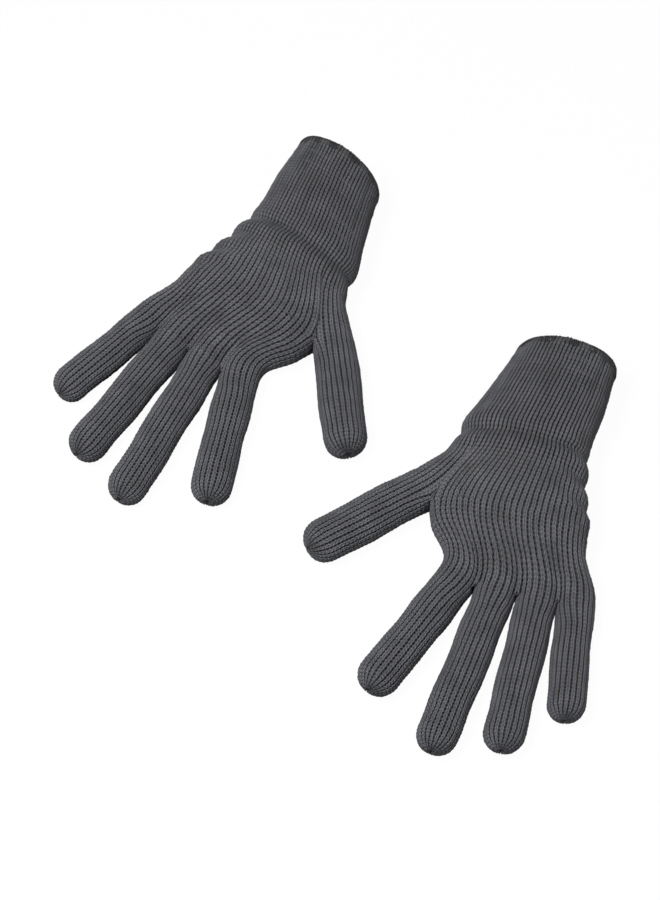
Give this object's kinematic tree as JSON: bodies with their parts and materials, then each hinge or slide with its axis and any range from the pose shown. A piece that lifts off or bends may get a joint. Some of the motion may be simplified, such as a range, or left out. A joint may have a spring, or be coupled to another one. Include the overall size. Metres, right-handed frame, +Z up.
{
  "type": "cut-resistant knitted glove",
  "caption": "Pair of seamless knitted cut-resistant work gloves, lying palm down and filled out, with bending fingers, thumbs and ribbed elastic cuffs.",
  "frame": {"origin": "on the surface the gloves lie on, under the middle of the pair", "axes": "+Z up out of the backs of the gloves; +X across the pair from the right glove towards the left glove; the fingers point mostly towards -Y"},
  "size_m": [0.3284, 0.3942, 0.0548],
  "materials": {
    "knit": "seven-gauge plain knit in dark grey wire-cored yarn",
    "rib": "elasticated mock rib in the same yarn",
    "overlock": "black overlock thread",
    "elastic": "covered rubber thread"
  },
  "bodies": {
    "right_hand": {"right_palm": "knit"},
    "right_cuff": {"right_wrist_band": "knit", "right_cuff": "rib", "right_cuff_elastic": "elastic", "right_cuff_edge": "overlock"},
    "right_index_lower": {"right_index_base_band": "knit", "right_index_lower": "knit"},
    "right_index_tip": {"right_index_joint_band": "knit", "right_index_tip": "knit"},
    "right_middle_lower": {"right_middle_base_band": "knit", "right_middle_lower": "knit"},
    "right_middle_tip": {"right_middle_joint_band": "knit", "right_middle_tip": "knit"},
    "right_ring_lower": {"right_ring_base_band": "knit", "right_ring_lower": "knit"},
    "right_ring_tip": {"right_ring_joint_band": "knit", "right_ring_tip": "knit"},
    "right_little_lower": {"right_little_base_band": "knit", "right_little_lower": "knit"},
    "right_little_tip": {"right_little_joint_band": "knit", "right_little_tip": "knit"},
    "right_thumb_lower": {"right_thumb_base_band": "knit", "right_thumb_lower": "knit"},
    "right_thumb_tip": {"right_thumb_joint_band": "knit", "right_thumb_tip": "knit"},
    "left_hand": {"left_palm": "knit"},
    "left_cuff": {"left_wrist_band": "knit", "left_cuff": "rib", "left_cuff_elastic": "elastic", "left_cuff_edge": "overlock"},
    "left_index_lower": {"left_index_base_band": "knit", "left_index_lower": "knit"},
    "left_index_tip": {"left_index_joint_band": "knit", "left_index_tip": "knit"},
    "left_middle_lower": {"left_middle_base_band": "knit", "left_middle_lower": "knit"},
    "left_middle_tip": {"left_middle_joint_band": "knit", "left_middle_tip": "knit"},
    "left_ring_lower": {"left_ring_base_band": "knit", "left_ring_lower": "knit"},
    "left_ring_tip": {"left_ring_joint_band": "knit", "left_ring_tip": "knit"},
    "left_little_lower": {"left_little_base_band": "knit", "left_little_lower": "knit"},
    "left_little_tip": {"left_little_joint_band": "knit", "left_little_tip": "knit"},
    "left_thumb_lower": {"left_thumb_base_band": "knit", "left_thumb_lower": "knit"},
    "left_thumb_tip": {"left_thumb_joint_band": "knit", "left_thumb_tip": "knit"}
  },
  "joints": [
    {"name": "right_wrist_bend", "type": "hinge", "parent": "right_hand", "child": "right_cuff", "pos_m": [-0.02172, 0.12234, 0.0212], "axis": [-0.8141, 0.5807, 0], "range_deg": [-35, 35], "deforming": ["right_wrist_band"]},
    {"name": "right_index_knuckle", "type": "hinge", "parent": "right_hand", "child": "right_index_lower", "pos_m": [-0.05907, 0.02643, 0.00767], "axis": [0.8141, -0.5807, 0], "range_deg": [-15, 75], "deforming": ["right_index_base_band"]},
    {"name": "right_index_bend", "type": "hinge", "parent": "right_index_lower", "child": "right_index_tip", "pos_m": [-0.06467, -0.00112, 0.00767], "axis": [0.9799, -0.1994, 0], "range_deg": [0, 80], "deforming": ["right_index_joint_band"]},
    {"name": "right_middle_knuckle", "type": "hinge", "parent": "right_hand", "child": "right_middle_lower", "pos_m": [-0.08092, 0.04277, 0.00754], "axis": [0.8141, -0.5807, 0], "range_deg": [-15, 75], "deforming": ["right_middle_base_band"]},
    {"name": "right_middle_bend", "type": "hinge", "parent": "right_middle_lower", "child": "right_middle_tip", "pos_m": [-0.09759, 0.01005, 0.00754], "axis": [0.891, -0.454, 0], "range_deg": [0, 80], "deforming": ["right_middle_joint_band"]},
    {"name": "right_ring_knuckle", "type": "hinge", "parent": "right_hand", "child": "right_ring_lower", "pos_m": [-0.10107, 0.05717, 0.00734], "axis": [0.8141, -0.5807, 0], "range_deg": [-15, 75], "deforming": ["right_ring_base_band"]},
    {"name": "right_ring_bend", "type": "hinge", "parent": "right_ring_lower", "child": "right_ring_tip", "pos_m": [-0.11935, 0.03107, 0.00734], "axis": [0.8192, -0.5736, 0], "range_deg": [0, 80], "deforming": ["right_ring_joint_band"]},
    {"name": "right_little_knuckle", "type": "hinge", "parent": "right_hand", "child": "right_little_lower", "pos_m": [-0.11915, 0.07312, 0.00689], "axis": [0.8141, -0.5807, 0], "range_deg": [-15, 75], "deforming": ["right_little_base_band"]},
    {"name": "right_little_bend", "type": "hinge", "parent": "right_little_lower", "child": "right_little_tip", "pos_m": [-0.13542, 0.05656, 0.00689], "axis": [0.7133, -0.7009, 0], "range_deg": [0, 80], "deforming": ["right_little_joint_band"]},
    {"name": "right_thumb_swing", "type": "hinge", "parent": "right_hand", "child": "right_thumb_lower", "pos_m": [-0.00018, 0.05461, 0.0128], "axis": [0, 0, -1], "range_deg": [-5, 20], "deforming": ["right_thumb_base_band"]},
    {"name": "right_thumb_bend", "type": "hinge", "parent": "right_thumb_lower", "child": "right_thumb_tip", "pos_m": [0.00311, 0.02579, 0.00832], "axis": [0.9936, 0.1132, 0], "range_deg": [0, 80], "deforming": ["right_thumb_joint_band"]},
    {"name": "left_wrist_bend", "type": "hinge", "parent": "left_hand", "child": "left_cuff", "pos_m": [0.10741, -0.01273, 0.0212], "axis": [-0.9703, 0.2419, 0], "range_deg": [-35, 35], "deforming": ["left_wrist_band"]},
    {"name": "left_index_knuckle", "type": "hinge", "parent": "left_hand", "child": "left_index_lower", "pos_m": [0.059, -0.10362, 0.00767], "axis": [0.9703, -0.2419, 0], "range_deg": [-15, 75], "deforming": ["left_index_base_band"]},
    {"name": "left_index_bend", "type": "hinge", "parent": "left_index_lower", "child": "left_index_tip", "pos_m": [0.04227, -0.12622, 0.00767], "axis": [0.8039, -0.5948, 0], "range_deg": [0, 80], "deforming": ["left_index_joint_band"]},
    {"name": "left_middle_knuckle", "type": "hinge", "parent": "left_hand", "child": "left_middle_lower", "pos_m": [0.08552, -0.1095, 0.00754], "axis": [0.9703, -0.2419, 0], "range_deg": [-15, 75], "deforming": ["left_middle_base_band"]},
    {"name": "left_middle_bend", "type": "hinge", "parent": "left_middle_lower", "child": "left_middle_tip", "pos_m": [0.07207, -0.14366, 0.00754], "axis": [0.9304, -0.3665, 0], "range_deg": [0, 80], "deforming": ["left_middle_joint_band"]},
    {"name": "left_ring_knuckle", "type": "hinge", "parent": "left_hand", "child": "left_ring_lower", "pos_m": [0.10947, -0.11542, 0.00734], "axis": [0.9703, -0.2419, 0], "range_deg": [-15, 75], "deforming": ["left_ring_base_band"]},
    {"name": "left_ring_bend", "type": "hinge", "parent": "left_ring_lower", "child": "left_ring_tip", "pos_m": [0.10176, -0.14633, 0.00734], "axis": [0.9703, -0.2419, 0], "range_deg": [0, 80], "deforming": ["left_ring_joint_band"]},
    {"name": "left_little_knuckle", "type": "hinge", "parent": "left_hand", "child": "left_little_lower", "pos_m": [0.13269, -0.11872, 0.00689], "axis": [0.9703, -0.2419, 0], "range_deg": [-15, 75], "deforming": ["left_little_base_band"]},
    {"name": "left_little_bend", "type": "hinge", "parent": "left_little_lower", "child": "left_little_tip", "pos_m": [0.12946, -0.14171, 0.00689], "axis": [0.9903, -0.1392, 0], "range_deg": [0, 80], "deforming": ["left_little_joint_band"]},
    {"name": "left_thumb_swing", "type": "hinge", "parent": "left_hand", "child": "left_thumb_lower", "pos_m": [0.04128, -0.03933, 0.0128], "axis": [0, 0, 1], "range_deg": [-5, 20], "deforming": ["left_thumb_base_band"]},
    {"name": "left_thumb_bend", "type": "hinge", "parent": "left_thumb_lower", "child": "left_thumb_tip", "pos_m": [0.01616, -0.05383, 0.00832], "axis": [0.5, -0.866, 0], "range_deg": [0, 80], "deforming": ["left_thumb_joint_band"]},
    {"name": "left_glove_lift", "type": "slide", "parent": "right_hand", "child": "left_hand", "axis": [0, 0, 1], "range_m": [0, 0.05]}
  ]
}
